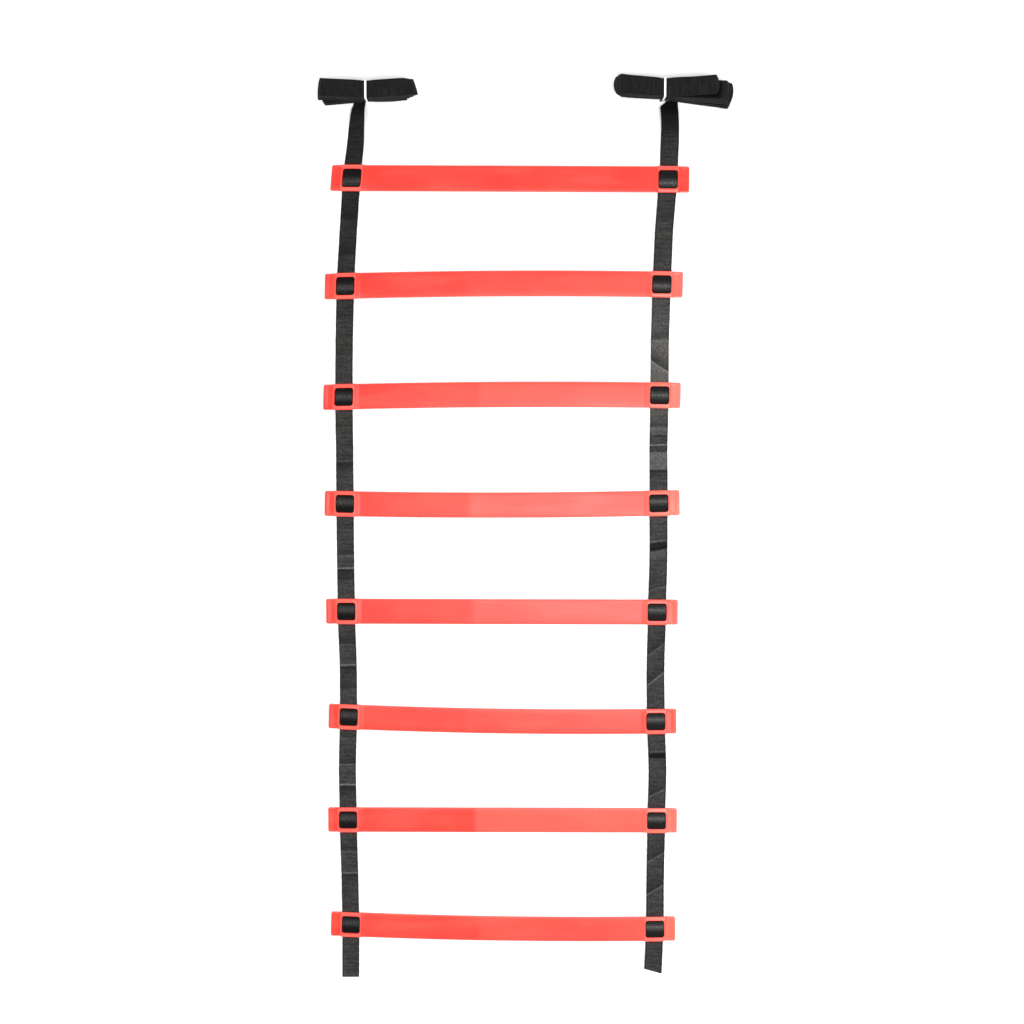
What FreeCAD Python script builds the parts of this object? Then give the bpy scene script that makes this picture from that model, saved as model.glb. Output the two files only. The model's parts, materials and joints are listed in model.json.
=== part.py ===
import FreeCAD, Part
import math
import os

# A flat training ladder that lies open on the ground, in millimetres. +Y runs up to the hanks, +Z is up.
# Eight moulded rungs are threaded on two webbing straps. The spare strap is folded into a hank on each
# side, and a tie holds each hank. Each strap is divided at the lines where the ladder folds, half way
# between two rungs, so that every span of it can turn.
# The places below are on the ladder's own midline, and everything is moved to its base's centre at the end.

Vector = FreeCAD.Vector

# Rungs
RUNG_LENGTH = 421.6
RUNG_WIDTH = 30.0
RUNG_THICK = 3.2
RUNG_CORNER = 1.5
WINDOW_OFFSET = 186.6  # from the rung's middle to the middle of each strap window
WINDOW_WIDE = 22.0
WINDOW_DEEP = 21.0
WINDOW_CORNER = 2.2
FRAME_WIDE = 27.0  # the raised frame round a window
FRAME_DEEP = 31.4
FRAME_TOP = 4.2
FRAME_CORNER = 1.6
CHANNEL_WIDE = 23.0  # the strap's way in under the frame
CHANNEL_TOP = 2.4
BAR_DEEP = 5.0  # the low bar across a window, which the strap passes over
BAR_TOP = 1.0
BAR_GRIP = 2.0  # how far the bar runs into the frame on each side

# How each rung lies, from the hanks down: its place along Y, its tilt in degrees, and how far its middle
# is bowed towards the hanks
RUNG_LIE = [
    (425.0, -0.25, 0.0),
    (301.0, 0.3, 2.0),
    (170.5, 0.3, 1.8),
    (42.5, 0.1, -2.0),
    (-88.0, -0.15, 0.0),
    (-219.0, -0.85, -2.5),
    (-343.5, -0.15, 0.0),
    (-476.5, -0.85, -2.5),
]

# Straps
STRAP_WIDTH = 20.6
STRAP_THICK = 1.2
STRAP_LOW = 1.1
STRAP_TOP = STRAP_LOW + STRAP_THICK
FOLD_X = [5.0, 0.5, 0.0, 0.0, 0.3, 0.6, 1.0]  # how far the pair of straps has wandered at each fold line
TOP_LEAN = 0.076  # sideways travel per length above the first fold line
TAIL_LEAN = 0.003
TOP_STRAIGHT = 466.0  # the first spans are straight up to here, then turn into the hanks
TAIL_Y = {"left": -540.0, "right": -536.0}

# Rung travel along its own span, and how far each fold turns
RUNG_TRAVEL = 32.0
TOP_RUNG_TRAVEL = 24.0
FOLD_TURN = 160.0
FOLD_CLEAR = 0.05  # a fold's axis is this far off the strap's face, on the inside of the fold

# Hanks of spare strap and their ties
HANK_HEIGHT = 26.0
HANK_OUTLINE = {
    "left": [
        (-211.0, 513.0), (-203.0, 506.0), (-182.0, 508.0), (-180.0, 510.0), (-111.0, 510.0),
        (-99.0, 518.0), (-103.0, 536.0), (-157.0, 533.0), (-197.0, 538.0), (-210.0, 537.0),
    ],
    "right": [
        (131.0, 519.0), (135.0, 515.0), (155.0, 512.5), (182.0, 511.0), (208.0, 511.0), (250.0, 502.0),
        (260.0, 502.0), (267.0, 531.0), (251.0, 539.0), (189.0, 535.0), (150.0, 541.0), (136.0, 540.0),
    ],
}
LEAD_X = {"left": -168.5, "right": 196.0}  # where each strap comes out of its hank
LEAD_Y = {"left": 510.0, "right": 511.0}
TIE_X = {"left": -157.0, "right": 189.0}
TIE_Y = {"left": (510.0, 533.0), "right": (511.0, 535.0)}
TIE_WIDTH = 3.0
TIE_CLEAR = 0.1  # round the tie, inside and out
WAIST = 0.9  # how far the hank is drawn in under its tie

SIDES = {"left": -1, "right": 1}


def extruded(points, low, top):
    """A prism on a closed outline in the ground plane."""
    corners = [Vector(x, y, low) for x, y in points]
    face = Part.Face(Part.makePolygon(corners + corners[:1]))
    return face.extrude(Vector(0, 0, top - low))


def block(wide, deep, low, top):
    """A box centred on the Z axis."""
    return Part.makeBox(wide, deep, top - low, Vector(-wide / 2, -deep / 2, low))


def rounded_block(wide, deep, low, top, corner):
    """A centred box with its four upright edges rounded."""
    box = block(wide, deep, low, top)
    upright = [edge for edge in box.Edges if abs(edge.tangentAt(edge.FirstParameter).z) > 0.9]
    return box.makeFillet(corner, upright)


def turned(shape, degrees, x, y):
    """A copy turned about Z and then moved to (x, y)."""
    copy = shape.copy()
    copy.rotate(Vector(0, 0, 0), Vector(0, 0, 1), degrees)
    copy.translate(Vector(x, y, 0))
    return copy


def long_edge(y, bow):
    """One long edge of a slat between its windows, straight or bowed."""
    left = Vector(-WINDOW_OFFSET, y, 0)
    right = Vector(WINDOW_OFFSET, y, 0)
    if bow == 0:
        return Part.LineSegment(left, right).toShape()
    return Part.Arc(left, Vector(0, y + bow, 0), right).toShape()


def slat_end(x):
    """The short edge of a slat's outline at one of its ends."""
    return Part.LineSegment(Vector(x, -RUNG_WIDTH / 2, 0), Vector(x, RUNG_WIDTH / 2, 0)).toShape()


def slat(bow):
    """The rung's flat bar from window to window."""
    outline = Part.Wire([
        long_edge(-RUNG_WIDTH / 2, bow),
        slat_end(WINDOW_OFFSET),
        long_edge(RUNG_WIDTH / 2, bow),
        slat_end(-WINDOW_OFFSET),
    ])
    return Part.Face(outline).extrude(Vector(0, 0, RUNG_THICK))


def end_piece():
    """A rung's end, with its window on the Z axis and its tip towards +X: the frame and the tab past it."""
    tip = RUNG_LENGTH / 2 - WINDOW_OFFSET
    tab = rounded_block(2 * tip, RUNG_WIDTH, 0, RUNG_THICK, RUNG_CORNER)
    inner_half = Part.makeBox(tip, RUNG_WIDTH, RUNG_THICK, Vector(-tip, -RUNG_WIDTH / 2, 0))
    frame = rounded_block(FRAME_WIDE, FRAME_DEEP, 0, FRAME_TOP, FRAME_CORNER)
    return tab.cut(inner_half).fuse(frame)


def strap_way():
    """What is cut from a rung's end: the window, and the channel under the frame."""
    window = rounded_block(WINDOW_WIDE, WINDOW_DEEP, -1, FRAME_TOP + 1, WINDOW_CORNER)
    channel = block(CHANNEL_WIDE, FRAME_DEEP + 2, -1, CHANNEL_TOP)
    return window.fuse(channel)


def rung(bow):
    """A whole rung, centred between its two windows."""
    bar = block(CHANNEL_WIDE + 2 * BAR_GRIP, BAR_DEEP, 0, BAR_TOP)
    slope = math.degrees(math.atan(2 * bow / WINDOW_OFFSET))
    ends = [(side * WINDOW_OFFSET, -side * slope, 0 if side > 0 else 180) for side in SIDES.values()]
    solid = slat(bow)
    for x, angle, facing in ends:
        solid = solid.fuse(turned(end_piece(), facing + angle, x, 0))
    for x, angle, facing in ends:
        solid = solid.cut(turned(strap_way(), angle, x, 0))
    for x, angle, facing in ends:
        solid = solid.fuse(turned(bar, angle, x, 0))
    return solid.removeSplitter()


def fold_lines():
    """The (x, y) of each fold line, half way between two rungs, from the hanks down."""
    places = [y for y, _, _ in RUNG_LIE]
    return [(x, (above + below) / 2) for x, above, below in zip(FOLD_X, places, places[1:])]


def midline(y):
    """How far to the side the middle of the two straps is, at a place along Y."""
    folds = fold_lines()
    first_x, first_y = folds[0]
    last_x, last_y = folds[-1]
    if y >= first_y:
        return first_x + TOP_LEAN * (y - first_y)
    if y <= last_y:
        return last_x + TAIL_LEAN * (last_y - y)
    for (x_above, y_above), (x_below, y_below) in zip(folds, folds[1:]):
        if y >= y_below:
            return x_below + (x_above - x_below) * (y - y_below) / (y_above - y_below)


def strap_span(side, number):
    """The stations (x, y) from top to bottom of the stretch of a strap that one rung is on."""
    offset = SIDES[side] * WINDOW_OFFSET
    folds = [y for _, y in fold_lines()]
    if number == 0:
        stations = [(LEAD_X[side], LEAD_Y[side]), (midline(TOP_STRAIGHT) + offset, TOP_STRAIGHT)]
    else:
        stations = [(midline(folds[number - 1]) + offset, folds[number - 1])]
    low = TAIL_Y[side] if number == len(folds) else folds[number]
    return stations + [(midline(low) + offset, low)]


def strap_piece(side, number):
    """A flat strip along those stations."""
    stations = strap_span(side, number)
    half = STRAP_WIDTH / 2
    outline = [(x - half, y) for x, y in stations] + [(x + half, y) for x, y in reversed(stations)]
    return extruded(outline, STRAP_LOW, STRAP_TOP)


def loop_box(side, inset, wide):
    """A box round the middle of a hank, let in from the hank's own height and depth by inset."""
    low, high = TIE_Y[side]
    corner = Vector(TIE_X[side] - wide / 2, low + inset, inset)
    return Part.makeBox(wide, high - low - 2 * inset, HANK_HEIGHT - 2 * inset, corner)


def tie(side):
    """The loop round the middle of a hank."""
    return loop_box(side, TIE_CLEAR, TIE_WIDTH).cut(loop_box(side, WAIST - TIE_CLEAR, TIE_WIDTH))


def hank(side):
    """The outer shape of the folded spare strap, with a waist where its tie closes round it."""
    wide = TIE_WIDTH + 2 * TIE_CLEAR
    halves = extruded(HANK_OUTLINE[side], 0, HANK_HEIGHT).cut(loop_box(side, -WAIST, wide))
    return halves.fuse(loop_box(side, WAIST, wide)).removeSplitter()


def all_nodes():
    """Every piece on the ladder's own midline, by name."""
    nodes = {}
    for number, (y, tilt, bow) in enumerate(RUNG_LIE):
        nodes[f"rung_{number + 1}"] = turned(rung(bow), tilt, midline(y), y)
    for side in SIDES:
        for number in range(len(RUNG_LIE)):
            nodes[f"{side}_strap_{number + 1}"] = strap_piece(side, number)
        nodes[f"{side}_hank"] = hank(side)
        nodes[f"{side}_tie"] = tie(side)
    return nodes


def base_centre(nodes):
    """The middle of the whole ladder's base."""
    box = Part.makeCompound(list(nodes.values())).optimalBoundingBox()
    return Vector((box.XMin + box.XMax) / 2, (box.YMin + box.YMax) / 2, box.ZMin)


NODES = all_nodes()
ORIGIN = base_centre(NODES)
os.makedirs("parts", exist_ok=True)
for name, shape in NODES.items():
    shape.translate(-ORIGIN)
    if not shape.isValid() or len(shape.Solids) != 1:
        raise RuntimeError(f"{name} is not one valid solid")
    shape.exportStep(f"parts/{name}.step")
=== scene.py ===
import json
import math
import random

import bmesh
import bpy
from mathutils import Matrix, Vector


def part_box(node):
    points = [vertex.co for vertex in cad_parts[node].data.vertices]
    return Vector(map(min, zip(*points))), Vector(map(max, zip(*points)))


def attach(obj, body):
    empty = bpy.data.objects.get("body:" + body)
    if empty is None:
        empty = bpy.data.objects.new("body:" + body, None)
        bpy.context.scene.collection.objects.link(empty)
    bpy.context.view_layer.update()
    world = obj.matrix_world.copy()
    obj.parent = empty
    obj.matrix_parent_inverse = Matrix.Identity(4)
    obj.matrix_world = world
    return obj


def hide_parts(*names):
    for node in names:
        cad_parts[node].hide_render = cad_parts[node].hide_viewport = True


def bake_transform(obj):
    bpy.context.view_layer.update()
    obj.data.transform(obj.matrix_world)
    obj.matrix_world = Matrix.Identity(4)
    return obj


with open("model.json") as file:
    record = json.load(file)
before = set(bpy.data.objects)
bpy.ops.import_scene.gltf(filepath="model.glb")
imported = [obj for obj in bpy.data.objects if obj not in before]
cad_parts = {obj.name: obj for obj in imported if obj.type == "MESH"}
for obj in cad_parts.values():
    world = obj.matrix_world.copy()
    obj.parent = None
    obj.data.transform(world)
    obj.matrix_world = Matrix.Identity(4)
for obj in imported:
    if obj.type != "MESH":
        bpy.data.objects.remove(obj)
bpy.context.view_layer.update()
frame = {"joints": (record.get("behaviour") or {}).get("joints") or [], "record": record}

# A flat training ladder on the ground, seen from above. The sizes below are in millimetres in the frame's
# own axes, and piece_of() turns them into metres. +Y runs up to the hanks.
MM = 0.001
SIDES = {"left": -1, "right": 1}
RUNGS = range(1, 9)
OPENINGS = {o["name"]: o["box_m"] for o in frame["record"]["physics"]["openings"]}
FOLDS = [j for j in frame["joints"] if j["type"] == "hinge"]

# Rungs
RUNG_BOW = [0.0, 2.0, 1.8, -2.0, 0.0, -2.5, 0.0, -2.5]  # how far each rung's middle is bowed to the hanks
LEFT_LEAN = [0.09, 0.055, 0.06, 0.01, 0.0, -0.01, 0.0, -0.01]  # how far each rung's left end is skewed
# Each rung's crease: where it is along the rung, how far it stands up, how much painted sheen pales the
# plastic past it
RUNG_CREASE = [
    (-30.0, 0.3, -0.15), (-44.0, 0.34, 0.04), (-26.0, 0.3, 0.12), (-38.0, 0.4, 0.14),
    (-35.0, 0.42, 0.15), (-42.0, 0.3, 0.06), (-34.0, 0.42, 0.3), (-28.0, 0.26, 0.12),
]
# How much painted sheen pales each rung's plastic at its left and its right end, and below 0 how much painted
# shade deepens it
RUNG_END_PAINTED_LIGHT = [
    (-0.45, 0.0), (-0.5, 0.45), (-0.4, 0.5), (-0.2, 0.45), (-0.05, 0.0), (0.0, 0.05), (0.0, 0.3), (0.0, 0.4),
]
WINDOW_OFFSET = 186.6
# How far each window lies from its nominal place, as the slats flex
WINDOW_DRIFT = {
    "left": [0.9, -1.0, -1.4, -0.9, -0.6, 0.9, -1.3, 0.5],
    "right": [-0.8, -0.4, 0.7, 1.0, -0.2, -1.0, 0.4, -0.9],
}
RUNG_TIP = {"left": 24.2, "right": 24.9}  # from a window's middle to the rung's tip
END_JOIN = 20.0  # from a window's middle to where the slat's own sections begin
STUB_STEP = 0.8  # the spacing of the sections between there and the frame
TAB_ROOT = 5.0  # from a window's middle to where the tab starts inside the frame
TAB_CORNER = 2.2
RUNG_HALF = 15.0
RUNG_THICK = 3.2
CROWN = 0.12
# The slat's rounded edge from the bottom up: (how far it is let in, height)
EDGE = [(0.55, 0.02), (0.14, 0.16), (0.0, 0.55), (0.0, 2.35), (0.16, 2.85), (0.55, 3.12), (1.3, 3.2)]
FRAME_HALF = (13.4, 15.4)
FRAME_TOP = 4.2
FRAME_CORNER = 3.0
FRAME_RAMP = 5.5  # the slat swells over this length where it meets a frame
FRAME_SWELL = 0.55
WINDOW_HALF = {"left": (10.85, 10.6), "right": (11.35, 10.6)}
WINDOW_CORNER = 2.9
WINDOW_FLARE = 0.5
CHANNEL_HALF = {"left": 12.5, "right": 12.9}
CHANNEL_TOP = 2.4
BAR_HALF = (13.2, 2.5)
BAR_TOP = 1.0
PANEL = (-20.6, -14.8, 12.8, 0.1)  # the tab's sunk panel: its two ends along the rung, half width, depth
PANEL_CORNER = 1.6
NOTCH_HALF = (0.7, 1.3)
LEAST_CORNER = 0.4
SECTION_STEP = 6.0
WARP_FADE = 60.0  # a slat comes down to the ground over this length before each of its ends
CREASE_REACH = 11.0  # how far along the slat a crease's lift reaches
WAVE = (0.12, 31.0)  # how high and how long a slat's own slight waves are
LEAN_FROM = (90.0, 60.0)  # the skew sets in this far from the rung's middle, and over this length
CREASE_STEP = 5.0  # the length over which the painted sheen sets in at a crease
PAINTED_END_LIGHT_FROM = {"left": (40.0, 160.0), "right": (160.0, 40.0)}  # where an end's painted sheen and shade set in, over what length

# Straps
STRAP_HALF = {"left": 10.3, "right": 10.75}
STRAP_LOW = 1.1
STRAP_THICK = 1.2
STRAP_EDGE = 0.05  # share of the half width that is rounded off
STRAP_STEP = 1.1
FRAY = [(0.07, 2.33, 1), (0.06, 0.71, 2)]  # the selvedge's waves: their height, rate and share of the seed
SAG_FROM = (38.0, 13.0)  # a strap sags this far from a window, and over this length
GROUND_GAP = 0.25
FOLD_UP = 9.0  # half the length that doesn't sag at a fold that turns down
# A tail's sag and its cut end's lift: (how far, where past the window, over what length)
TAIL_SAG = (0.85, 40.0, 20.0)
TAIL_LIFT = (0.25, 56.0, 8.0)
WANDER = {"left": [0.6, -0.6, -0.8, -0.8, 0.8, -1.5, -0.2], "right": [-0.3, 0.4, 0.2, 1.2, -1.4, 1.5, -0.5]}
SHIFT = {("left", 6): -0.5, ("right", 6): 0.5}  # how far a strap has slipped sideways as it leaves a window
SHIFT_OVER = 14.0  # the length over which it does
TAIL_CUT = {"left": 0.0, "right": 6.0}  # how much shorter a tail is at its left edge
TAIL_DRIFT = {"left": -0.9, "right": -1.8}
BIGHT_HALF = {"left": (10.65, 10.3), "right": (11.15, 10.3)}
BIGHT_CORNER = 2.9
BIGHT_HIGHLIGHT = {"left": (0.85, 0.0), "right": (1.1, 0.12)}  # how strong a bight's painted highlight is, and how much glossier the bight is
# half the reach of that painted highlight
HIGHLIGHT_HALF = 3.8
HIGHLIGHT_UP = (2.2, 6.5, 2.6)  # the painted highlight's place up the window: the gain per rung, what is taken off, the highest
# painted shade over the whole bight, lifted only by its painted highlight
BIGHT_PAINTED_SHADE = 0.92
BIGHT_LOW = 2.33
BIGHT_RISE = (0.05, 1.72, 0.7)  # the least and the added thickness, and the power that rounds the hump
BIGHT_COUNT = 26
# Painted light on a strap at places along Y: painted shade from 0 to 1, painted sheen below 0
PAINTED_LIGHT_ALONG_Y = {
    "left": [(-540.0, 0.14), (-90.0, 0.12), (200.0, 0.2), (310.0, 0.5), (400.0, 0.66), (430.0, 0.64),
             (500.0, 0.78)],
    "right": [(-540.0, 0.18), (-200.0, 0.14), (-60.0, 0.12), (50.0, -0.04), (110.0, -0.14), (225.0, -0.22),
              (300.0, 0.02), (350.0, 0.18), (425.0, 0.25), (465.0, 0.42), (488.0, 0.88), (510.0, 0.97)],
}
# Creases across the straps: (share of the span, slant in millimetres across the strap, then the painted shade
# on the strap above the crease, along it and below it, where a number below 0 is a painted highlight)
CREASES = {
    "left": {
        1: [(0.38, 0.0, 0.12, 0.0, -0.05), (0.71, 1.5, 0.12, -0.05, -0.08)],
        2: [(0.3, 0.0, 0.1, -0.08, -0.05), (0.62, -1.0, 0.12, -0.05, -0.06)],
        3: [(0.28, 0.0, 0.1, -0.04, 0.05), (0.6, 0.5, 0.12, -0.32, 0.3), (0.68, 0.0, 0.1, 0.0, -0.12)],
        4: [(0.24, 0.0, 0.16, -0.1, -0.05), (0.48, 0.0, 0.2, -0.16, -0.06), (0.6, 0.3, -0.05, -0.42, 0.36),
            (0.7, 0.0, 0.1, 0.15, -0.1)],
        5: [(0.31, 0.0, 0.32, -0.16, -0.05), (0.51, 0.4, 0.0, -0.42, 0.38), (0.72, 0.0, 0.12, 0.22, -0.12)],
        6: [(0.2, 0.0, 0.2, -0.12, -0.08), (0.46, 0.3, 0.25, -0.2, -0.05),
            (0.66, 0.0, -0.05, -0.42, 0.36)],
        7: [(0.3, 0.0, 0.28, -0.18, -0.05), (0.51, 0.5, 0.0, -0.34, 0.28)],
    },
    "right": {
        1: [(0.4, 2.0, 0.14, -0.08, -0.08)],
        2: [(0.5, 1.0, 0.12, -0.08, -0.08), (0.74, -14.0, 0.22, -0.2, -0.1)],
        3: [(0.3, 0.0, 0.1, -0.1, -0.12), (0.38, 0.5, 0.1, 0.3, 0.1), (0.46, 0.5, 0.05, -0.36, 0.18),
            (0.52, 0.0, 0.15, 0.1, -0.22), (0.7, 0.0, -0.1, 0.42, 0.26)],
        4: [(0.35, 3.0, -0.1, -0.34, 0.3), (0.42, 4.0, 0.34, 0.46, -0.28), (0.78, 6.0, 0.14, -0.16, -0.05)],
        5: [(0.34, 17.0, 0.3, -0.2, -0.12), (0.61, 17.0, 0.26, -0.34, -0.12)],
        6: [(0.31, 0.5, -0.1, -0.3, 0.34), (0.38, 0.0, 0.3, -0.12, -0.16),
            (0.72, 10.0, 0.24, -0.24, -0.1)],
        7: [(0.34, 13.0, 0.26, -0.26, -0.12), (0.64, 13.0, 0.26, -0.26, -0.12)],
    },
}
CREASE_PAINTED_LIGHT = 1.9  # how strongly all of that painted light shows
CREASE_DENT = (0.9, 1.2)  # how deep the dent along a crease is, and how far it reaches
CREASE_LINE = 1.0  # the reach of the painted light along a crease
CREASE_SIDES = (0.8, 9.0)  # where the painted light beside a crease sets in, and where it has faded

# Hanks: the ends of their lays are (share of the height, x, y)
HANK_THICK = 0.8
HANK_STEP = 3.0
HANK_LOW = 0.5
END_REACH = 16.0  # a lay takes its end's shape over this length
TURN_HIGHLIGHT = 0.22  # the painted highlight on a lay where it turns back
LAY_PAINTED_SHADE = (0.95, 0.17)  # the lowest lay's painted shade, and how much less of it the top one has
FOLD_LOW = 0.15
FOLD_OUT = 1.0  # how far past its own edge the strap runs flat at its corner fold
FOLD_COUNT = 6  # sections on each stretch of that fold
LEAD_THINS = (455.0, 30.0)  # from where and over what length a lead becomes as thin as the lays
# Bumps along the lays, as (height, half length)
OVER_FOLD = (1.25, 22.0)  # how far they are lifted over the corner fold
SQUEEZE = (0.05, 13.0)  # the share of their height that the tie takes
DRAWN_IN = (0.07, 7.0)  # the share of their width that the tie takes
TIE_BEND = 8.0  # the half length of the soft bend under a tie
DROOP = (0.022, 4.0)  # how fast and how far at most the free ends droop
LOOSE_END = (3.0, 190.0, 33.0)  # the top lay's loose end: its lift, where it starts, over what length
SHADED_TO = 227.5  # the lay below it is painted dark as shade up to here
TIE_SIZE = (2.3, 0.62)
TIE_GAP = 0.75  # from the lays to the middle of the tie's band
TIE_CORNER = 2.0
LEAD_FOLD = {"left": (-196.5, 523.5), "right": (168.0, 525.0)}
TIE_AT = {"left": (-185.0, 523.0), "right": (161.0, 525.6)}
HANKS = {
    "left": {
        "lays": 28,
        "pitch": 0.885,
        "left_ends": [(0.0, -233.3, 518.6), (0.32, -233.6, 520.0), (0.42, -239.2, 524.0),
                      (1.0, -238.4, 525.8)],
        "right_ends": [(0.0, -141.0, 523.4), (0.3, -140.6, 524.0), (0.6, -135.4, 525.4),
                       (0.88, -129.2, 526.9), (1.0, -128.6, 527.0)],
        "droop_from": -143.0,
        "tuck": {"left": 1.4, "right": 0.7},
        "skew": {"left": (2.6, 0.5), "right": (-2.2, -2.2)},
        "narrow": 0.13,
        "jitter": (1.1, 0.7),
    },
    "right": {
        "lays": 23,
        "pitch": 1.025,
        "left_ends": [(0.0, 106.4, 529.4), (0.5, 105.0, 529.8), (1.0, 105.6, 530.2)],
        "right_ends": [(0.0, 237.4, 515.8), (0.45, 239.6, 518.6), (0.86, 238.2, 522.4), (0.95, 236.0, 523.4),
                       (1.0, 222.6, 528.2)],
        "droop_from": 400.0,
        "tuck": {"left": 6.4, "right": 4.0},
        "skew": {"left": (-1.2, -1.2), "right": (0.0, 0.0)},
        "narrow": 0.0,
        "jitter": (2.2, 1.1),
    },
}
# Each strap on its way to its hank: y, its left and right edge, how high it lies, its right edge's lift
LEADS = {
    "left": [
        (424.5, -215.2, -194.6, 1.1, 0.0), (446.0, -211.9, -191.4, 1.1, 0.0),
        (465.2, -209.2, -189.4, 1.0, 0.3), (484.4, -206.9, -188.7, 1.6, 1.6),
        (494.0, -205.4, -188.2, 2.6, 2.6), (503.5, -203.8, -187.9, 2.0, 2.2),
        (511.2, -201.3, -187.2, 0.3, 0.6), (516.0, -203.6, -186.6, 0.15, 0.0),
    ],
    "right": [
        (424.5, 157.9, 179.1, 1.1, 0.0), (446.0, 158.0, 179.3, 1.1, 0.0), (465.0, 158.4, 180.0, 1.0, 0.0),
        (473.0, 158.7, 180.1, 1.0, 0.0), (486.0, 158.8, 179.8, 3.0, 0.0), (499.0, 158.2, 178.9, 4.6, 0.0),
        (507.5, 158.0, 178.4, 2.0, 0.0), (513.5, 164.0, 178.2, 0.3, 0.0), (517.0, 160.0, 178.0, 0.15, 0.0),
    ],
}


# ---- shapes

def smooth(t):
    """An even ease from 0 to 1."""
    t = max(0.0, min(1.0, t))
    return t * t * (3 - 2 * t)


def between(rows, at):
    """A row of values at a place, on straight lines between rows that start with their place."""
    if at <= rows[0][0]:
        return rows[0][1:]
    for low, high in zip(rows, rows[1:]):
        if at <= high[0]:
            share = (at - low[0]) / (high[0] - low[0])
            return tuple(a + (b - a) * share for a, b in zip(low[1:], high[1:]))
    return rows[-1][1:]


def curve_between(rows, at):
    """The same on a smooth curve through the rows."""
    places = [row[0] for row in rows]
    at = max(places[0], min(places[-1], at))
    i = max(n for n, place in enumerate(places[:-1]) if place <= at)
    before, here, there, after = (rows[max(0, min(len(rows) - 1, n))] for n in (i - 1, i, i + 1, i + 2))
    span = there[0] - here[0]
    t = (at - here[0]) / span
    found = []
    for a, b, c, d in zip(before[1:], here[1:], there[1:], after[1:]):
        leave = (c - a) / max(there[0] - before[0], 1e-6) * span
        arrive = (d - b) / max(after[0] - here[0], 1e-6) * span
        found.append(
            (2 * t**3 - 3 * t**2 + 1) * b + (t**3 - 2 * t**2 + t) * leave
            + (3 * t**2 - 2 * t**3) * c + (t**3 - t**2) * arrive
        )
    return found


def even_places(start, end, step, least=1):
    """Even steps from start to end, as (share of the way, place)."""
    count = max(least, round(abs(end - start) / step))
    return [(n / count, start + (end - start) * (n / count)) for n in range(count + 1)]


def rounded_rectangle(half_x, half_y, radius, steps=6):
    """A closed outline, anticlockwise, with round corners."""
    points = []
    for quarter, (sx, sy) in enumerate([(1, 1), (-1, 1), (-1, -1), (1, -1)]):
        for step in range(steps + 1):
            angle = math.radians(90 * (quarter + step / steps))
            points.append((
                sx * (half_x - radius) + radius * math.cos(angle),
                sy * (half_y - radius) + radius * math.sin(angle),
            ))
    return points


def loft(bm, rings, capped=True, looped=False):
    """Faces between rings of points, which all have the same count."""
    made = [[bm.verts.new(p) for p in ring] for ring in rings]
    pairs = list(zip(made, made[1:])) + ([(made[-1], made[0])] if looped else [])
    for low, high in pairs:
        for i in range(len(low)):
            j = (i + 1) % len(low)
            bm.faces.new((low[i], low[j], high[j], high[i]))
    if capped and not looped:
        bm.faces.new(made[0])
        bm.faces.new(made[-1])


def mesh_from(bm):
    """A mesh of a bmesh, with its faces turned outward."""
    bmesh.ops.recalc_face_normals(bm, faces=bm.faces)
    mesh = bpy.data.meshes.new("shape")
    bm.to_mesh(mesh)
    bm.free()
    return mesh


def rounded_stack(half_x, half_y, corner, levels, middle=(0.0, 0.0)):
    """A closed solid on a rounded rectangle, through levels of (how far it is let in, z)."""
    bm = bmesh.new()
    rings = []
    for inset, z in levels:
        outline = rounded_rectangle(half_x - inset, half_y - inset, max(LEAST_CORNER, corner - inset))
        rings.append([(x + middle[0], y + middle[1], z) for x, y in outline])
    loft(bm, rings)
    return mesh_from(bm)


def prism(profile, half_x):
    """A closed solid of one section of (y, z), centred along X."""
    bm = bmesh.new()
    loft(bm, [[(x, y, z) for y, z in profile] for x in (-half_x, half_x)])
    return mesh_from(bm)


def link(thing):
    """Puts an object into the scene."""
    bpy.context.scene.collection.objects.link(thing)


def combined(base, others, operation):
    """A new mesh: base joined with, or cut by, each of the others."""
    holder = bpy.data.objects.new("base", base)
    link(holder)
    tools = []
    for other in others:
        tool = bpy.data.objects.new("tool", other)
        link(tool)
        tools.append(tool)
        modifier = holder.modifiers.new("join", "BOOLEAN")
        modifier.operation = operation
        modifier.solver = "EXACT"
        modifier.object = tool
    evaluated = holder.evaluated_get(bpy.context.evaluated_depsgraph_get())
    result = bpy.data.meshes.new_from_object(evaluated)
    for thing in [holder, *tools]:
        bpy.data.objects.remove(thing)
    return result


def piece_of(mesh, name, material, sharp_degrees=38):
    """A named piece from a mesh in millimetres, with smooth shading up to an angle."""
    mesh.transform(Matrix.Scale(MM, 4))
    mesh.name = name
    mesh.materials.clear()
    mesh.materials.append(material)
    mesh.shade_smooth()
    mesh.set_sharp_from_angle(angle=math.radians(sharp_degrees))
    piece = bpy.data.objects.new(name, mesh)
    link(piece)
    return piece


# ---- materials

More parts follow.
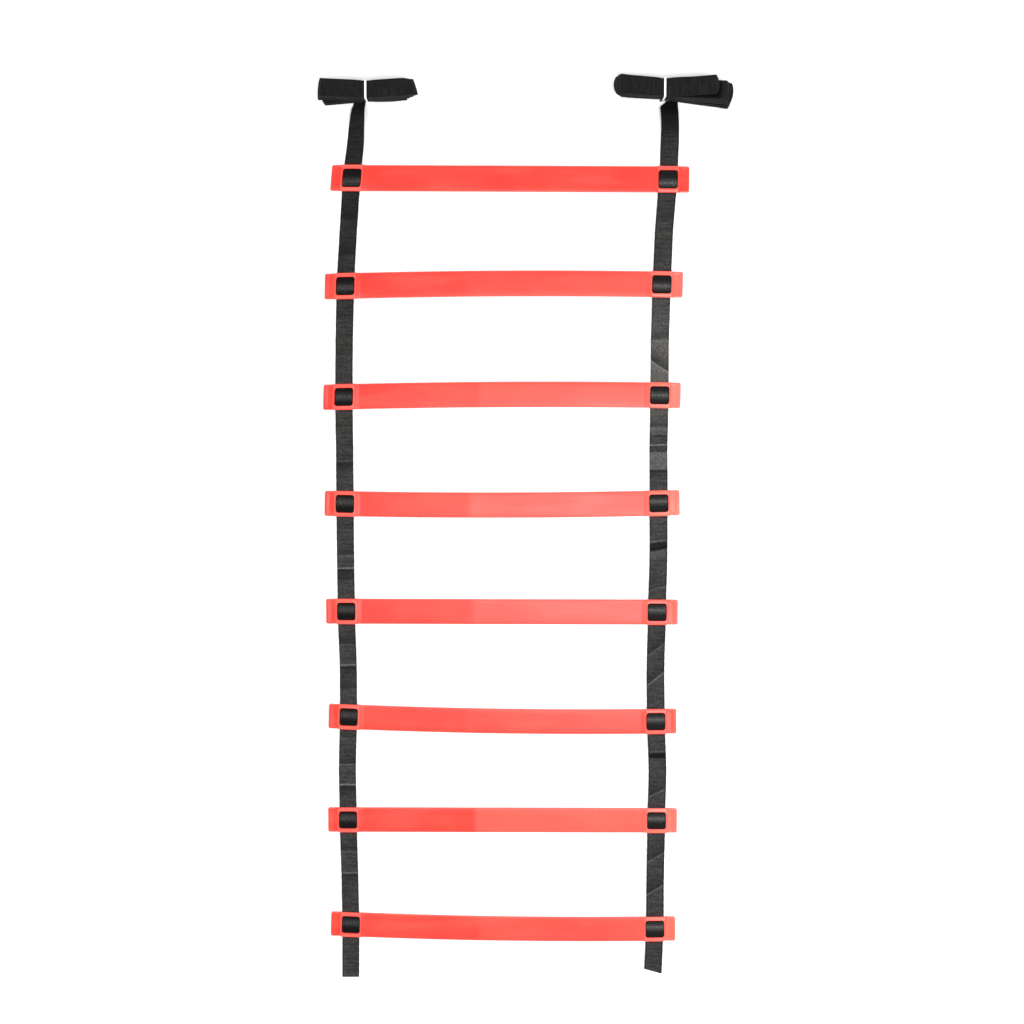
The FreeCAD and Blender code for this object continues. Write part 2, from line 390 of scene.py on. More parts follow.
class Nodes:
    """A short way to write a material's node tree."""

    def __init__(self, name):
        self.material = bpy.data.materials.new(name)
        self.material.use_nodes = True
        self.tree = self.material.node_tree
        self.surface = self.tree.nodes["Principled BSDF"]

    def put(self, target, value):
        """Feeds an input with a socket or a plain value."""
        if isinstance(value, bpy.types.NodeSocket):
            self.tree.links.new(value, target)
        elif value is not None:
            target.default_value = value

    def node(self, kind, inputs=(), **settings):
        made = self.tree.nodes.new(kind)
        for key, value in settings.items():
            setattr(made, key, value)
        for key, value in dict(inputs).items():
            self.put(made.inputs[key], value)
        return made

    def math(self, operation, a, b=None, c=None):
        return self.node("ShaderNodeMath", {0: a, 1: b, 2: c}, operation=operation).outputs[0]

    def object_place(self):
        return self.node("ShaderNodeTexCoord").outputs["Object"]

    def attribute(self, name):
        return self.node("ShaderNodeAttribute", attribute_name=name).outputs["Fac"]

    def times(self, a, b):
        return self.math("MULTIPLY", a, b)

    def mix(self, share, a, b):
        """A colour between two colours."""
        return self.node("ShaderNodeMix", {0: share, 6: a, 7: b}, data_type="RGBA").outputs[2]

    def noise(self, place, scale, detail=3.0, roughness=0.5):
        made = self.node(
            "ShaderNodeTexNoise",
            {"Vector": place, "Scale": scale, "Detail": detail, "Roughness": roughness},
        )
        return made.outputs["Fac"]

    def ramp(self, value, low, high, to_low=0.0, to_high=1.0):
        """A value eased between two limits."""
        made = self.node(
            "ShaderNodeMapRange",
            {0: value, 1: low, 2: high, 3: to_low, 4: to_high},
            interpolation_type="SMOOTHSTEP",
        )
        return made.outputs[0]

    def stretched(self, place, scale):
        return self.node("ShaderNodeVectorMath", {0: place, 1: scale}, operation="MULTIPLY").outputs[0]

    def bump(self, height, distance, strength=1.0, normal=None):
        inputs = {"Height": height, "Distance": distance, "Strength": strength, "Normal": normal}
        return self.node("ShaderNodeBump", inputs).outputs[0]

    def finish(self, **inputs):
        for key, value in inputs.items():
            self.put(self.surface.inputs[key.replace("_", " ")], value)
        return self.material


def coral_plastic():
    """Moulded coral plastic: satin, with flow marks and fine scuffs, a painted highlight on its sharp edges,
    and painted sheen and shade along each rung.
    """
    nodes = Nodes("coral_plastic")
    place = nodes.object_place()
    flow = nodes.noise(nodes.stretched(place, (9.0, 60.0, 60.0)), 1.0, 4.0, 0.55)
    cloud = nodes.noise(place, 14.0, 3.0)
    scuff = nodes.noise(nodes.stretched(place, (90.0, 900.0, 300.0)), 1.0, 4.0, 0.6)
    fleck = nodes.noise(place, 900.0, 2.0)
    # a painted highlight: paler plastic on sharp convex edges
    wear_and_highlight = nodes.ramp(nodes.node("ShaderNodeNewGeometry").outputs["Pointiness"], 0.51, 0.56)
    painted_sheen_and_shade = nodes.attribute("painted_sheen_and_shade")
    deep = nodes.mix(nodes.ramp(cloud, 0.3, 0.7), (0.88, 0.026, 0.014, 1), (0.93, 0.04, 0.022, 1))
    # painted sheen and shade along each rung: below 0 it deepens the red as painted shade, above 0 it pales
    # it as painted sheen
    painted_shade_red = nodes.mix(nodes.times(painted_sheen_and_shade, -1.0), deep, (0.78, 0.008, 0.004, 1))
    painted_sheen_colour = nodes.mix(painted_sheen_and_shade, painted_shade_red, (1.0, 0.17, 0.12, 1))
    streaked = nodes.mix(nodes.ramp(flow, 0.45, 0.75, 0.0, 0.4), painted_sheen_colour, (0.97, 0.08, 0.052, 1))
    worn_and_highlit = nodes.mix(nodes.times(wear_and_highlight, 0.35), streaked, (1.0, 0.2, 0.15, 1))
    rough = nodes.math("ADD", nodes.ramp(flow, 0.3, 0.7, 0.33, 0.43), nodes.ramp(scuff, 0.55, 0.8, 0.0, 0.08))
    grain = nodes.bump(fleck, 0.00004, 0.5)
    marks = nodes.bump(scuff, 0.00006, 0.35, grain)
    return nodes.finish(
        Base_Color=worn_and_highlit, Roughness=rough, Normal=marks, IOR=1.49,
        Subsurface_Weight=0.06, Subsurface_Scale=0.002, Subsurface_Radius=(1.0, 0.3, 0.2),
    )


def webbing():
    """Charcoal webbing: columns of warp floats, every other one half a float on, and tight selvedges."""
    column, row = 1.45 * MM, 1.9 * MM
    nodes = Nodes("webbing")
    uv = nodes.node("ShaderNodeUVMap", uv_map="strap").outputs["UV"]
    split = nodes.node("ShaderNodeSeparateXYZ", {0: uv}).outputs
    across = nodes.math("DIVIDE", split[0], column)
    shift = nodes.times(nodes.math("FLOOR", across), 0.5)
    along = nodes.math("ADD", nodes.math("DIVIDE", split[1], row), shift)
    rib = nodes.math("SINE", nodes.times(nodes.math("FRACT", across), math.pi))
    crest = nodes.math("SINE", nodes.times(nodes.math("FRACT", along), math.pi))
    float_height = nodes.times(nodes.math("POWER", rib, 0.6), nodes.math("POWER", crest, 0.45))
    selvedge = nodes.ramp(nodes.math("ABSOLUTE", split[0]), 8.5 * MM, 9.4 * MM)
    place = nodes.object_place()
    yarn = nodes.noise(nodes.stretched(uv, (5200.0, 700.0, 1.0)), 1.0, 3.0, 0.6)
    weft = nodes.noise(nodes.stretched(uv, (60.0, 340.0, 1.0)), 1.0, 3.0, 0.7)
    worn_and_highlit = nodes.noise(nodes.stretched(uv, (420.0, 420.0, 1.0)), 1.0, 2.0, 0.6)
    fuzz = nodes.noise(place, 520.0, 3.0, 0.6)
    patch = nodes.noise(place, 30.0, 3.0)
    tone = nodes.attribute("tone")
    dark, light = (0.0045, 0.0043, 0.0041, 1), (0.068, 0.0635, 0.0595, 1)
    lit = nodes.times(nodes.ramp(float_height, 0.2, 1.0), nodes.ramp(yarn, 0.25, 0.75, 0.5, 1.0))
    streaked = nodes.times(lit, nodes.ramp(weft, 0.37, 0.63, 0.08, 1.45))
    wear_and_highlight = nodes.times(streaked, nodes.ramp(worn_and_highlit, 0.38, 0.62, 0.35, 1.45))
    spread = nodes.times(wear_and_highlight, nodes.ramp(patch, 0.3, 0.7, 0.7, 1.0))
    base = nodes.mix(spread, dark, light)
    speck = nodes.mix(nodes.ramp(fuzz, 0.6, 0.75, 0.0, 0.5), base, (0.12, 0.112, 0.105, 1))
    edged = nodes.mix(nodes.times(selvedge, 0.92), speck, (0.0035, 0.0034, 0.0033, 1))
    # painted sheen: where the strap's painted light is below 0 it is mixed paler, broken up by the wear noise
    painted_sheen_share = nodes.times(tone, nodes.ramp(worn_and_highlit, 0.35, 0.65, -0.5, -1.5))
    painted_sheen_colour = nodes.mix(painted_sheen_share, edged, (0.17, 0.16, 0.15, 1))
    # painted shade: where the strap's painted light is above 0 it is mixed towards black
    with_painted_shade = nodes.mix(tone, painted_sheen_colour, (0.003, 0.0029, 0.0028, 1))
    weave = nodes.bump(float_height, 0.00026, 0.9)
    ribs = nodes.bump(weft, 0.0004, 0.5, weave)
    threads = nodes.bump(yarn, 0.00006, 0.6, ribs)
    pressed = nodes.attribute("gloss")
    dull = nodes.times(nodes.math("SUBTRACT", 1.0, nodes.times(tone, 0.92)), 0.32)
    shine = nodes.math("MULTIPLY_ADD", pressed, 0.45, dull)
    rough = nodes.math("MULTIPLY_ADD", pressed, -0.2, nodes.ramp(yarn, 0.3, 0.7, 0.5, 0.66))
    return nodes.finish(
        Base_Color=with_painted_shade, Roughness=rough, Normal=threads, Specular_IOR_Level=shine,
        Sheen_Weight=0.03, Sheen_Roughness=0.5, Sheen_Tint=(0.9, 0.87, 0.84, 1),
    )


def tie_plastic():
    """Soft white plastic with a fine grain and a few grey smudges."""
    nodes = Nodes("tie_plastic")
    place = nodes.object_place()
    grain = nodes.noise(place, 1400.0, 2.0)
    smudge = nodes.noise(place, 160.0, 3.0)
    colour = nodes.mix(nodes.ramp(smudge, 0.45, 0.75, 0.0, 0.5), (0.9, 0.9, 0.88, 1), (0.72, 0.71, 0.69, 1))
    return nodes.finish(Base_Color=colour, Roughness=0.5, Normal=nodes.bump(grain, 0.00004, 0.5))


def floor_paint():
    """A plain, nearly white floor with a hint of unevenness."""
    nodes = Nodes("floor_paint")
    place = nodes.object_place()
    cloud = nodes.noise(place, 2.2, 2.0)
    colour = nodes.mix(cloud, (0.96, 0.96, 0.96, 1), (0.97, 0.97, 0.968, 1))
    return nodes.finish(Base_Color=colour, Roughness=0.85, Specular_IOR_Level=0.2)


# ---- rungs

def slat_section(swell):
    """The slat's section as (y, z), anticlockwise, with its top raised by swell."""
    side = [(RUNG_HALF - inset, z + (swell if z > RUNG_THICK / 2 else 0)) for inset, z in EDGE]
    top = RUNG_THICK + swell
    crown = [(RUNG_HALF * share, top + CROWN * (1 - share**2)) for share in (0.6, 0.2, -0.2, -0.6)]
    return side + crown + [(-y, z) for y, z in reversed(side)]


def swell_at(x):
    """How much the slat's top is raised at a distance from the window's middle."""
    return FRAME_SWELL * smooth((FRAME_HALF[0] + FRAME_RAMP - x) / FRAME_RAMP)


def end_stub():
    """The slat from END_JOIN into the frame, its window on the Z axis and its tip towards -X."""
    bm = bmesh.new()
    places = [END_JOIN - STUB_STEP * step for step in range(9)] + [TAB_ROOT]
    loft(bm, [[(x, y, z) for y, z in slat_section(swell_at(x))] for x in places])
    return mesh_from(bm)


def tab(side):
    """The short tab past the frame, with round corners."""
    tip = RUNG_TIP[side]
    return rounded_stack((tip - TAB_ROOT) / 2, RUNG_HALF, TAB_CORNER, EDGE, (-(tip + TAB_ROOT) / 2, 0.0))


def frame_block():
    """The raised frame as a full block, its upper edge chamfered."""
    levels = [(0.4, 0.0), (0.0, 0.4), (0.0, 3.35), (0.1, 3.6), (0.75, 4.05), (1.05, FRAME_TOP)]
    return rounded_stack(*FRAME_HALF, FRAME_CORNER, levels)


def window_cutter(side):
    """What is cut for a window, flared at the top."""
    levels = [
        (0.0, -1.0), (0.0, FRAME_TOP - 0.7), (-0.12, FRAME_TOP - 0.45),
        (-WINDOW_FLARE, FRAME_TOP + 0.02), (-WINDOW_FLARE, FRAME_TOP + 1),
    ]
    return rounded_stack(*WINDOW_HALF[side], WINDOW_CORNER, levels)


def channel_cutter(side):
    """What is cut under the frame for the strap."""
    face = FRAME_HALF[1]
    profile = [
        (-face - 1, -1), (face + 1, -1), (face + 1, 2.75),
        (face - 0.35, CHANNEL_TOP), (-face + 0.35, CHANNEL_TOP), (-face - 1, 2.75),
    ]
    return prism(profile, CHANNEL_HALF[side])


def low_bar():
    """The low bar across the window."""
    half_x, half_y = BAR_HALF
    profile = [
        (-half_y, 0.0), (half_y, 0.0), (half_y, 0.6),
        (half_y - 0.4, BAR_TOP), (-half_y + 0.4, BAR_TOP), (-half_y, 0.6),
    ]
    return prism(profile, half_x)


def panel_cutter():
    """The sunk panel on the tab."""
    tip_x, frame_x, half_y, depth = PANEL
    levels = [(0.35, RUNG_THICK - depth), (0.0, RUNG_THICK + 0.02), (-0.2, RUNG_THICK + 1)]
    return rounded_stack((frame_x - tip_x) / 2, half_y, PANEL_CORNER, levels, ((tip_x + frame_x) / 2, 0.0))


def notch_cutter(sign):
    """A small notch where the frame's outer corner meets the tab."""
    middle = (-FRAME_HALF[0] - 0.45, sign * (RUNG_HALF + 0.1))
    return rounded_stack(*NOTCH_HALF, LEAST_CORNER, [(0.0, 1.6), (0.0, RUNG_THICK + 2)], middle)


def end_piece(side):
    """A rung's whole end as one mesh, open at END_JOIN."""
    body = combined(end_stub(), [tab(side), frame_block()], "UNION")
    cutters = [window_cutter(side), channel_cutter(side), panel_cutter(), notch_cutter(1), notch_cutter(-1)]
    body = combined(combined(body, cutters, "DIFFERENCE"), [low_bar()], "UNION")
    bm = bmesh.new()
    bm.from_mesh(body)
    cap = [face for face in bm.faces if all(v.co.x > END_JOIN - 0.001 for v in face.verts)]
    bmesh.ops.delete(bm, geom=cap, context="FACES_ONLY")
    bmesh.ops.triangulate(bm, faces=[face for face in bm.faces if len(face.verts) > 4])
    bm.to_mesh(body)
    bm.free()
    return body


def window_places(number):
    """Where a rung's two windows are: their middles in plan, by side."""
    places = {}
    for side in SIDES:
        low, high = (Vector(corner) / MM for corner in OPENINGS[f"{side}_window_{number}"])
        drift = Vector((WINDOW_DRIFT[side][number - 1], 0))
        places[side] = ((low + high) / 2).to_2d() + drift
    return places


def window_half(number):
    """Half the distance between a rung's two windows."""
    at = window_places(number)
    return (at["right"] - at["left"]).length / 2


def rung_frame(number):
    """The matrix from a rung's own frame, centred between its windows, to the ladder's."""
    at = window_places(number)
    middle = (at["left"] + at["right"]) / 2
    run = at["right"] - at["left"]
    turn = math.atan2(run.y, run.x)
    return Matrix.Translation((middle.x, middle.y, 0)) @ Matrix.Rotation(turn, 4, "Z")


def end_frames(number):
    """The matrices from a rung end's frame to the rung's, left and right."""
    half = window_half(number)
    slope = math.atan(2 * RUNG_BOW[number - 1] / half)
    left = Matrix.Translation((-half, 0, 0)) @ Matrix.Rotation(slope, 4, "Z")
    right = Matrix.Translation((half, 0, 0)) @ Matrix.Rotation(math.pi - slope, 4, "Z")
    return {"left": left, "right": right}


def warp(x, crease_x, lift):
    """How far a slat stands off the ground: a soft crease near its middle, nothing at its windows."""
    wave_height, wave_length = WAVE
    reach = smooth((WINDOW_OFFSET - END_JOIN - abs(x)) / WARP_FADE)
    sharp = math.exp(-abs(x - crease_x) / CREASE_REACH)
    return reach * (lift * sharp + wave_height * (1 + math.sin(x / wave_length + crease_x)))


def lean(vertices, number):
    """Skews what lies at a rung's left end as the strap pulls it, in the rung's own frame."""
    place, length = LEAN_FROM
    for vertex in vertices:
        share = smooth((-vertex.co.x - place) / length)
        vertex.co.x += LEFT_LEAN[number - 1] * share * vertex.co.y


def painted_sheen_and_shade_at(number, x):
    """How much painted sheen pales the plain plastic at a place along a rung, with painted shade below 0."""
    crease_x, _, crease_sheen = RUNG_CREASE[number - 1]
    left_painted, right_painted = RUNG_END_PAINTED_LIGHT[number - 1]
    left_from, left_over = PAINTED_END_LIGHT_FROM["left"]
    right_from, right_over = PAINTED_END_LIGHT_FROM["right"]
    at_left = left_painted * smooth((-x - left_from) / left_over)
    at_right = right_painted * smooth((x - right_from) / right_over)
    return crease_sheen * smooth((x - crease_x) / CREASE_STEP + 0.5) + (at_left + at_right)


def rung(number, ends, material):
    """One moulded rung."""
    bow = RUNG_BOW[number - 1]
    half = window_half(number)
    frames = end_frames(number)
    bm = bmesh.new()
    for side, matrix in frames.items():
        copy = ends[side].copy()
        copy.transform(matrix)
        bm.from_mesh(copy)
        bpy.data.meshes.remove(copy)
    join = [Vector((END_JOIN, y, z)) for y, z in slat_section(swell_at(END_JOIN))]
    rings = [[frames["left"] @ p for p in join]]
    inner = half - END_JOIN
    for _, x in even_places(-inner, inner, SECTION_STEP)[1:-1]:
        y_middle = bow * (1 - (x / half) ** 2)
        slope = math.atan(-2 * bow * x / half**2)
        across = Vector((-math.sin(slope), math.cos(slope), 0))
        rings.append([Vector((x, y_middle, z)) + across * y for y, z in slat_section(0.0)])
    rings.append([frames["right"] @ Vector((p.x, -p.y, p.z)) for p in join])
    loft(bm, rings, capped=False)
    bmesh.ops.remove_doubles(bm, verts=bm.verts, dist=0.004)
    crease_x, lift, _ = RUNG_CREASE[number - 1]
    # painted sheen and painted shade along the rung, kept on its vertices
    sheen_and_shade_layer = bm.verts.layers.float.new("painted_sheen_and_shade")
    lean(bm.verts, number)
    for vertex in bm.verts:
        x = vertex.co.x
        vertex.co.z += warp(x, crease_x, lift)
        vertex[sheen_and_shade_layer] = painted_sheen_and_shade_at(number, x)
    bm.transform(rung_frame(number))
    piece = piece_of(mesh_from(bm), f"rung_{number}_moulding", material)
    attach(piece, f"rung_{number}")
    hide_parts(f"rung_{number}")


# ---- straps

def strap_section():
    """Webbing's section as shares of its half width and half thickness, anticlockwise from the right."""
    turns = [math.radians(30 * step) for step in range(4)]
    side = [(1 - STRAP_EDGE * (1 - math.cos(turn)), math.sin(turn)) for turn in turns]
    selvedge = [(0.92, 1.0), (0.88, 0.93)]
    ribs = [(share / 10, 0.97 if share % 2 else 0.93) for share in range(8, -9, -1)]
    other_side = [(-a, n) for a, n in reversed(side + selvedge)]
    half = side + selvedge + ribs + other_side
    return half + [(a, -n) for a, n in reversed(half[1:-1])]


SECTION = strap_section()


class Station:
    """One cross-section of a strap: its middle, its half width as a vector, thickness, corners and painted
    light.

    tuck is how far along X its two corners are drawn back, skew how far one leads the other.
    """

    def __init__(self, middle, across, thick, tone=0.0, tuck=0.0, skew=0.0):
        self.middle = Vector(middle)
        self.across = Vector(across)
        self.thick = thick
        self.tone = tone
        self.tuck = tuck
        self.skew = skew

    def point(self, a, n, normal):
        """The place of a section point, given as shares of the half width and half thickness."""
        round_end = 1 - math.sqrt(1 - (0.97 * a) ** 2)
        shift = Vector((self.tuck * round_end + self.skew * a, 0, 0))
        return self.middle + self.across * a + shift + normal * (n * self.thick / 2)


def strap_mesh(stations, relief=None, edge_painted_light=0.0, gloss=0.0):
    """A closed strap through its stations, and its length.

    relief(y, a) says how far its upper face is let in at a place and how much painted shade it has there,
    with a painted highlight below 0.
    """
    bm = bmesh.new()
    painted_light_layer = bm.verts.layers.float.new("tone")
    gloss_layer = bm.verts.layers.float.new("gloss")
    uv_layer = bm.loops.layers.uv.new("strap")
    count = len(SECTION)
    distance, distances, rings = 0.0, [], []
    for i, station in enumerate(stations):
        before = stations[max(0, i - 1)].middle
        after = stations[min(len(stations) - 1, i + 1)].middle
        if i:
            distance += (station.middle - before).length
        normal = station.across.cross(after - before).normalized()
        ring = []
        for a, n in SECTION:
            point = station.point(a, n, normal)
            sunk = dark = 0.0
            if relief and n > 0:
                sunk, dark = relief(point.y, a)
            vertex = bm.verts.new(point - normal * sunk)
            # edges painted paler as a highlight when the amount is above 0, darker as shade when it is below
            # 0
            if abs(a) > 0.94:
                dark -= edge_painted_light
            vertex[painted_light_layer] = max(-1.0, min(1.0, station.tone + dark))
            vertex[gloss_layer] = gloss
            ring.append(vertex)
        rings.append(ring)
        distances.append(distance)
    half = stations[0].across.length
    for i, (low, high) in enumerate(zip(rings, rings[1:])):
        for j in range(count):
            k = (j + 1) % count
            face = bm.faces.new((low[j], low[k], high[k], high[j]))
            for loop, (place, ring_index) in zip(face.loops, ((j, i), (k, i), (k, i + 1), (j, i + 1))):
                loop[uv_layer].uv = (SECTION[place][0] * half * MM, distances[ring_index] * MM)
    for ring, at in ((rings[0], distances[0]), (rings[-1], distances[-1])):
        face = bm.faces.new(ring)
        for loop, (a, n) in zip(face.loops, SECTION):
            loop[uv_layer].uv = (a * half * MM, at * MM)
    return mesh_from(bm), distance


def crease_relief(creases, top, low):
    """The relief and the painted shading of the creases between two windows, for strap_mesh()."""
    depth, reach = CREASE_DENT
    near, far = CREASE_SIDES

    def relief(y, a):
        sunk = dark = 0.0
        for share, slant, above, along, below in creases:
            off = y - (top.y + (low.y - top.y) * share - slant * a / 2)
            sharp = max(abs(above), abs(along), abs(below))
            sunk += depth * sharp * math.exp(-abs(off) / reach)
            dark += CREASE_PAINTED_LIGHT * along * math.exp(-((off / CREASE_LINE) ** 2))
            faded = (1 - math.exp(-abs(off) / near)) * math.exp(-abs(off) / far)
            dark += CREASE_PAINTED_LIGHT * (above if off > 0 else below) * faded
        return sunk, dark
    return relief


def painted_light_at(side, y):
    """The painted shade on a strap at a place along Y, with painted sheen below 0."""
    return between(PAINTED_LIGHT_ALONG_Y[side], y)[0]


def frayed(side, y, seed):
    """A strap's half width at a place along Y, a little uneven along its selvedge."""
    uneven = sum(height * math.sin(y * rate + share * seed) for height, rate, share in FRAY)
    return STRAP_HALF[side] + uneven


def span_height(y, top_y, low_y, fold_y, valley):
    """How high the strap's middle lies: down between two rungs, but up at a fold that turns down."""
    middle = STRAP_LOW + STRAP_THICK / 2
    place, length = SAG_FROM
    from_window = min(top_y - y, y - low_y)
    down = smooth((from_window - place) / length)
    at_fold = 1 - smooth(abs(y - fold_y) / FOLD_UP)
    floor_height = STRAP_THICK / 2 + GROUND_GAP
    sag = (middle - floor_height) * down
    return middle - sag * (1.0 if valley else 1 - at_fold)


def span_piece(side, number, material):
    """The strap from one window's middle to the next one's, bending at the fold between them."""
    top = window_places(number)[side]
    low = window_places(number + 1)[side]
    fold = FOLDS[number - 1]
    fold_y = fold["pos_m"][1] / MM
    valley = fold["axis"][0] < 0
    fold_x = fold["pos_m"][0] / MM + SIDES[side] * WINDOW_OFFSET
    stations = []
    for share, y in even_places(top.y, low.y, STRAP_STEP):
        if y > fold_y:
            near = (y - fold_y) / (top.y - fold_y)
            x = fold_x + (top.x - fold_x) * near
            x += SHIFT.get((side, number), 0.0) * near * smooth((top.y - y) / SHIFT_OVER)
        else:
            x = fold_x + (low.x - fold_x) * (fold_y - y) / (fold_y - low.y)
        x += WANDER[side][number - 1] * math.sin(math.pi * share) ** 2
        z = span_height(y, top.y, low.y, fold_y, valley)
        stations.append(Station((x, y, z), (-frayed(side, y, number), 0, 0), STRAP_THICK, painted_light_at(side, y)))
    mesh, length = strap_mesh(stations, crease_relief(CREASES[side][number], top, low))
    piece = piece_of(mesh, f"{side}_strap_span_{number}", material, 50)
    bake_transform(piece)
    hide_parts(f"{side}_strap_{number + 1}")
    return piece, length


def tail_piece(side, material):
    """The strap from the last window to its cut end."""
    sag, sag_from, sag_over = TAIL_SAG
    lift, lift_from, lift_over = TAIL_LIFT
    top = window_places(8)[side]
    low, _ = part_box(f"{side}_strap_8")
    stations = []
    for share, y in even_places(top.y, low.y / MM, STRAP_STEP):
        slant = TAIL_CUT[side] / 2 * share**3
        middle = STRAP_LOW + STRAP_THICK / 2
        past = top.y - y
        low_by = sag * smooth((past - sag_from) / sag_over)
        z = middle - low_by + lift * smooth((past - lift_from) / lift_over)
        across = (-frayed(side, y, 8), slant, 0)
        place = (top.x + TAIL_DRIFT[side] * share, y + slant, z)
        stations.append(Station(place, across, STRAP_THICK, painted_light_at(side, y)))
    mesh, length = strap_mesh(stations)
    piece = piece_of(mesh, f"{side}_strap_tail", material, 50)
    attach(piece, "span_8")
    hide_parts(f"{side}_strap_8")
    return piece, length


def bight(side, number, material):
    """The strap's hump over the low bar of a window, on its rung, painted dark as shade and darker at its
    sides, with a painted highlight band.
    """
    half_x, half_y = BIGHT_HALF[side]
    wear_and_highlight, gloss = BIGHT_HIGHLIGHT[side]
    gain, taken_off, highest = HIGHLIGHT_UP
    highlight_at = min(highest, gain * number - taken_off)
    least, added, power = BIGHT_RISE
    stations = []
    for step in range(BIGHT_COUNT + 1):
        y = half_y * (1 - 2 * step / BIGHT_COUNT)
        arch = max(0.0, math.cos(math.pi / 2 * y / half_y))
        rise = least + added * arch**power
        up = y if side == "left" else -y
        # painted shade over the bight, less of it in a painted highlight band whose place moves up the window
        # rung by rung
        tone = BIGHT_PAINTED_SHADE - wear_and_highlight * math.exp(-(((up - highlight_at) / HIGHLIGHT_HALF) ** 2))
        past = max(0.0, abs(y) - half_y + BIGHT_CORNER)
        half = half_x - BIGHT_CORNER + math.sqrt(max(0.0, BIGHT_CORNER**2 - past**2))
        stations.append(Station((0, y, BIGHT_LOW + rise / 2), (-half, 0, 0), rise, tone))
    # its sides painted darker, as the shade of the window's walls
    mesh, _ = strap_mesh(stations, edge_painted_light=-0.5, gloss=gloss)
    mesh.transform(end_frames(number)[side])
    lean(mesh.vertices, number)
    mesh.transform(rung_frame(number))
    piece = piece_of(mesh, f"{side}_bight_{number}", material, 60)
    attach(piece, f"rung_{number}")
    return piece


# ---- hanks

def bump_at(x, middle, height, half):
    """A smooth bump along X, as high as height at its middle."""
    return height * math.exp(-(((x - middle) / half) ** 2))


def hank_level(side, lay, x):
    """The height of a lay's middle."""
    hank = HANKS[side]
    over_fold = bump_at(x, LEAD_FOLD[side][0], *OVER_FOLD)
    squeeze = bump_at(x, TIE_AT[side][0], *SQUEEZE)
    past = max(0.0, x - hank["droop_from"])
    rate, most = DROOP
    droop = min(most, rate * past**2)
    loose = 0.0
    if side == "right" and lay == hank["lays"] - 1:
        lift, place, length = LOOSE_END
        loose = lift * smooth((x - place) / length)
    return HANK_LOW + over_fold + hank["pitch"] * lay * (1 - squeeze) - droop + loose


def lay_y(side, x, left_end, right_end):
    """A lay's place along Y: straight on each side of the tie, with a soft bend under it."""
    tie_x, tie_y = TIE_AT[side]
    left_slope = (left_end[1] - tie_y) / (left_end[0] - tie_x)
    right_slope = (right_end[1] - tie_y) / (right_end[0] - tie_x)
    off = x - tie_x
    right_part = (off + math.hypot(off, TIE_BEND) - TIE_BEND) / 2
    left_part = (off - math.hypot(off, TIE_BEND) + TIE_BEND) / 2
    return tie_y + left_slope * left_part + right_slope * right_part


def lay_across(side, x, left_end, right_end):
    """The direction across a lay, as a vector of length 1."""
    slope = lay_y(side, x + 0.5, left_end, right_end) - lay_y(side, x - 0.5, left_end, right_end)
    return Vector((-slope, 1, 0)).normalized()


def hank_ends(side, chance):
    """Where the lays turn back, from the bottom up: (left turns, right turns), each (x, y)."""
    hank = HANKS[side]
    last = hank["lays"] - 1
    turns = []
    for rows, first in ((hank["left_ends"], 1.5), (hank["right_ends"], 0.5)):
        found = []
        level = first
        while level < last + 1.6:
            x, y = between(rows, min(1.0, level / last))
            off_x, off_y = (chance.uniform(-reach, reach) for reach in hank["jitter"])
            found.append((x + off_x, y + off_y))
            level += 2
        turns.append(found)
    return turns


def hank_tone(side, lay, x):
    """How dark a lay is: the lower ones get less light, and so does the one under the loose end."""
    last = HANKS[side]["lays"] - 1
    lowest, crease_sheen = LAY_PAINTED_SHADE
    shaded = side == "right" and lay == last - 1 and x < SHADED_TO
    return 1.0 if shaded else lowest - crease_sheen * (lay / last)


def hank_skew(side, end, lay):
    """How far the corners of a lay's end lead each other, from the lowest lay to the top one."""
    lowest, top = HANKS[side]["skew"][end]
    return lowest + (top - lowest) * lay / (HANKS[side]["lays"] - 1)


def lead_stations(side):
    """The strap from the first window to under its hank."""
    rows = LEADS[side]
    stations = []
    for _, y in even_places(rows[0][0], rows[-1][0], STRAP_STEP):
        left_x, right_x, height, lift = curve_between(rows, y)
        share = smooth((y - LEAD_THINS[0]) / LEAD_THINS[1])
        thick = STRAP_THICK + (HANK_THICK - STRAP_THICK) * share
        middle = ((left_x + right_x) / 2, y, height + thick / 2 + lift / 2)
        across = ((right_x - left_x) / 2, 0, lift / 2)
        stations.append(Station(middle, across, thick, painted_light_at(side, y)))
    return stations


def fold_stations(side, next_z):
    """The strap's corner fold under its hank: in along +Y, out along +X."""
    x, y = LEAD_FOLD[side]
    half = STRAP_HALF[side]
    low = FOLD_LOW + HANK_THICK / 2
    radius = (next_z - low) / 2
    out = Vector((-1, 1, 0)).normalized()
    stations = []
    start = y - half - FOLD_OUT
    for step in range(1, FOLD_COUNT + 1):
        t = step / FOLD_COUNT
        stations.append(Station((x, start + (y - start) * t, low), (half, half * t, 0), HANK_THICK))
    for step in range(1, FOLD_COUNT + 1):
        angle = math.pi * step / (FOLD_COUNT + 1)
        middle = Vector((x, y, low + radius * (1 - math.cos(angle)))) + out * (radius * math.sin(angle))
        stations.append(Station(middle, (half, half, 0), HANK_THICK))
    for step in range(1, FOLD_COUNT + 1):
        t = step / FOLD_COUNT
        middle = (x + (half + FOLD_OUT) * t, y, next_z)
        stations.append(Station(middle, (half * (1 - t), half, 0), HANK_THICK))
    return stations


